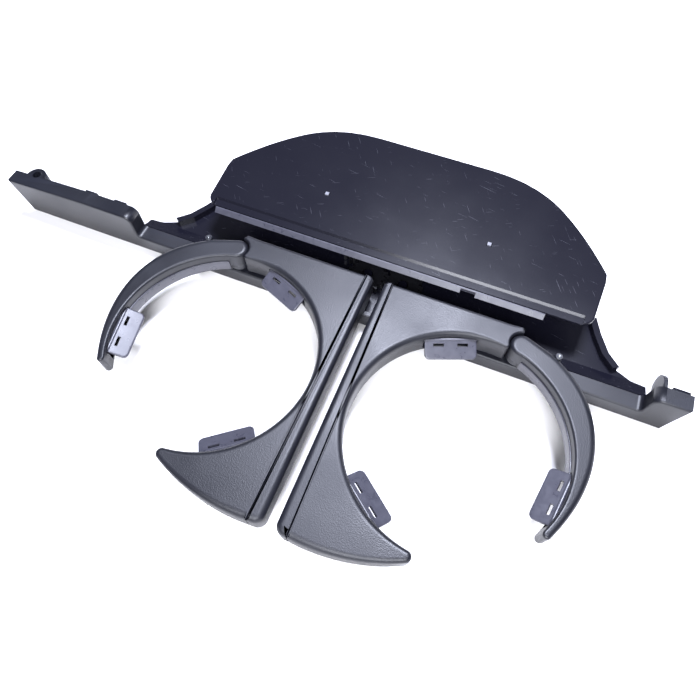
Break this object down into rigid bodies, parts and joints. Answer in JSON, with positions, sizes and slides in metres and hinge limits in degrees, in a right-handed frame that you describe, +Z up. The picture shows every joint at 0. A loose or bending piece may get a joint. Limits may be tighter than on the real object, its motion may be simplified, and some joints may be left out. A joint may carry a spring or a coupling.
{
  "type": "swing-out cup holder",
  "caption": "Black dashboard cup holder module with twin swing-out ring arms, folding fingers and sprung grip flaps.",
  "frame": {"origin": "point on the flat underside of the fascia strip, midway between the two arms", "axes": "+X along the fascia towards its short wing, +Y back into the dashboard, +Z up through the cup rings"},
  "size_m": [0.3025, 0.1788, 0.0247],
  "materials": {
    "grained_plastic": "fine leather grain",
    "smooth_plastic": "satin with handling scratches",
    "flap_plastic": "smooth translucent grey-black",
    "gear_plastic": "black acetal",
    "snap_plastic": "pale nylon",
    "steel": "zinc plated",
    "spring_wire": "drawn wire"
  },
  "bodies": {
    "housing": {"fascia": "grained_plastic", "housing_base": "smooth_plastic", "lid": "smooth_plastic", "lid_front_lip": "flap_plastic", "left_lid_snap": "snap_plastic", "right_lid_snap": "snap_plastic", "damper_body": "smooth_plastic", "latch_body": "smooth_plastic", "damper_screw_1": "steel", "damper_screw_2": "steel", "lid_screw_1": "steel", "lid_screw_2": "steel", "lid_screw_3": "steel", "lid_screw_4": "steel", "left_arm_spring": "spring_wire", "right_arm_spring": "spring_wire"},
    "left_arm": {"left_arm_body": "grained_plastic", "left_spine_cap": "grained_plastic", "left_rear_underplate": "smooth_plastic", "left_front_underplate": "smooth_plastic", "left_rear_underplate_screw": "steel", "left_front_underplate_screw": "steel", "left_pivot_shaft": "steel", "left_pivot_clip": "steel", "left_finger_pin": "steel", "left_gear_sector": "gear_plastic", "left_finger_spring": "spring_wire"},
    "left_finger": {"left_finger": "grained_plastic"},
    "left_back_flap": {"left_back_flap": "flap_plastic"},
    "left_hook_flap": {"left_hook_flap": "flap_plastic"},
    "left_finger_flap": {"left_finger_flap": "flap_plastic"},
    "left_idler": {"left_idler_gear": "gear_plastic"},
    "right_arm": {"right_arm_body": "grained_plastic", "right_spine_cap": "grained_plastic", "right_rear_underplate": "smooth_plastic", "right_front_underplate": "smooth_plastic", "right_rear_underplate_screw": "steel", "right_front_underplate_screw": "steel", "right_pivot_shaft": "steel", "right_pivot_clip": "steel", "right_finger_pin": "steel", "right_gear_sector": "gear_plastic", "right_finger_spring": "spring_wire", "latch_striker": "steel"},
    "right_finger": {"right_finger": "grained_plastic"},
    "right_back_flap": {"right_back_flap": "flap_plastic"},
    "right_hook_flap": {"right_hook_flap": "flap_plastic"},
    "right_finger_flap": {"right_finger_flap": "flap_plastic"},
    "right_idler": {"right_idler_gear": "gear_plastic"},
    "damper_pinion": {"damper_pinion": "gear_plastic"},
    "latch_plunger": {"latch_plunger": "gear_plastic"}
  },
  "joints": [
    {"name": "right_arm_swing", "type": "hinge", "parent": "housing", "child": "right_arm", "pos_m": [0.008, 0.0022, 0.016], "axis": [0, 0, 1], "range_deg": [0, 90], "stiffness_Nm_per_rad": 0.01},
    {"name": "left_arm_swing", "type": "hinge", "parent": "housing", "child": "left_arm", "pos_m": [-0.008, 0.0022, 0.016], "axis": [0, 0, 1], "range_deg": [-90, 0]},
    {"name": "right_finger_fold", "type": "hinge", "parent": "right_arm", "child": "right_finger", "pos_m": [0.0618, 0.00096, 0.016], "axis": [0, 0, 1], "range_deg": [-27.5, 0]},
    {"name": "left_finger_fold", "type": "hinge", "parent": "left_arm", "child": "left_finger", "pos_m": [-0.0618, 0.00096, 0.016], "axis": [0, 0, 1], "range_deg": [0, 27.5]},
    {"name": "right_idler_turn", "type": "hinge", "parent": "housing", "child": "right_idler", "pos_m": [0.008, 0.0167, 0.009], "axis": [0, 0, 1], "range_deg": [-74, 0]},
    {"name": "left_idler_turn", "type": "hinge", "parent": "housing", "child": "left_idler", "pos_m": [-0.008, 0.0167, 0.009], "axis": [0, 0, 1], "range_deg": [0, 74]},
    {"name": "damper_pinion_turn", "type": "hinge", "parent": "housing", "child": "damper_pinion", "pos_m": [-0.01719, 0.02589, 0.009], "axis": [0, 0, 1], "range_deg": [-118, 0]},
    {"name": "left_back_flap_tilt", "type": "hinge", "parent": "left_arm", "child": "left_back_flap", "pos_m": [-0.03502, -0.00573, 0.0178], "axis": [0.9272, -0.3746, 0], "range_deg": [0, 34], "stiffness_Nm_per_rad": 0.002},
    {"name": "left_hook_flap_tilt", "type": "hinge", "parent": "left_arm", "child": "left_hook_flap", "pos_m": [-0.02528, -0.0773, 0.0178], "axis": [-0.7934, -0.6088, 0], "range_deg": [0, 34], "stiffness_Nm_per_rad": 0.002},
    {"name": "left_finger_flap_tilt", "type": "hinge", "parent": "left_finger", "child": "left_finger_flap", "pos_m": [-0.08837, -0.05099, 0.0178], "axis": [-0.1822, 0.9833, 0], "range_deg": [0, 34], "stiffness_Nm_per_rad": 0.002},
    {"name": "right_back_flap_tilt", "type": "hinge", "parent": "right_arm", "child": "right_back_flap", "pos_m": [0.03502, -0.00573, 0.0178], "axis": [0.9272, 0.3746, 0], "range_deg": [0, 34], "stiffness_Nm_per_rad": 0.002},
    {"name": "right_hook_flap_tilt", "type": "hinge", "parent": "right_arm", "child": "right_hook_flap", "pos_m": [0.02528, -0.0773, 0.0178], "axis": [-0.7934, 0.6088, 0], "range_deg": [0, 34], "stiffness_Nm_per_rad": 0.002},
    {"name": "right_finger_flap_tilt", "type": "hinge", "parent": "right_finger", "child": "right_finger_flap", "pos_m": [0.08837, -0.05099, 0.0178], "axis": [-0.1822, -0.9833, 0], "range_deg": [0, 34], "stiffness_Nm_per_rad": 0.002},
    {"name": "latch_slide", "type": "slide", "parent": "housing", "child": "latch_plunger", "axis": [1, 0, 0], "range_m": [-0.0016, 0], "stiffness_N_per_m": 60}
  ],
  "couplings": [
    {"joint": "left_arm_swing", "follows": "right_arm_swing", "ratio": -1},
    {"joint": "right_finger_fold", "follows": "right_arm_swing", "ratio": -0.3},
    {"joint": "left_finger_fold", "follows": "right_arm_swing", "ratio": 0.3},
    {"joint": "right_idler_turn", "follows": "right_arm_swing", "ratio": -0.8125},
    {"joint": "left_idler_turn", "follows": "right_arm_swing", "ratio": 0.8125},
    {"joint": "damper_pinion_turn", "follows": "right_arm_swing", "ratio": -1.3}
  ]
}
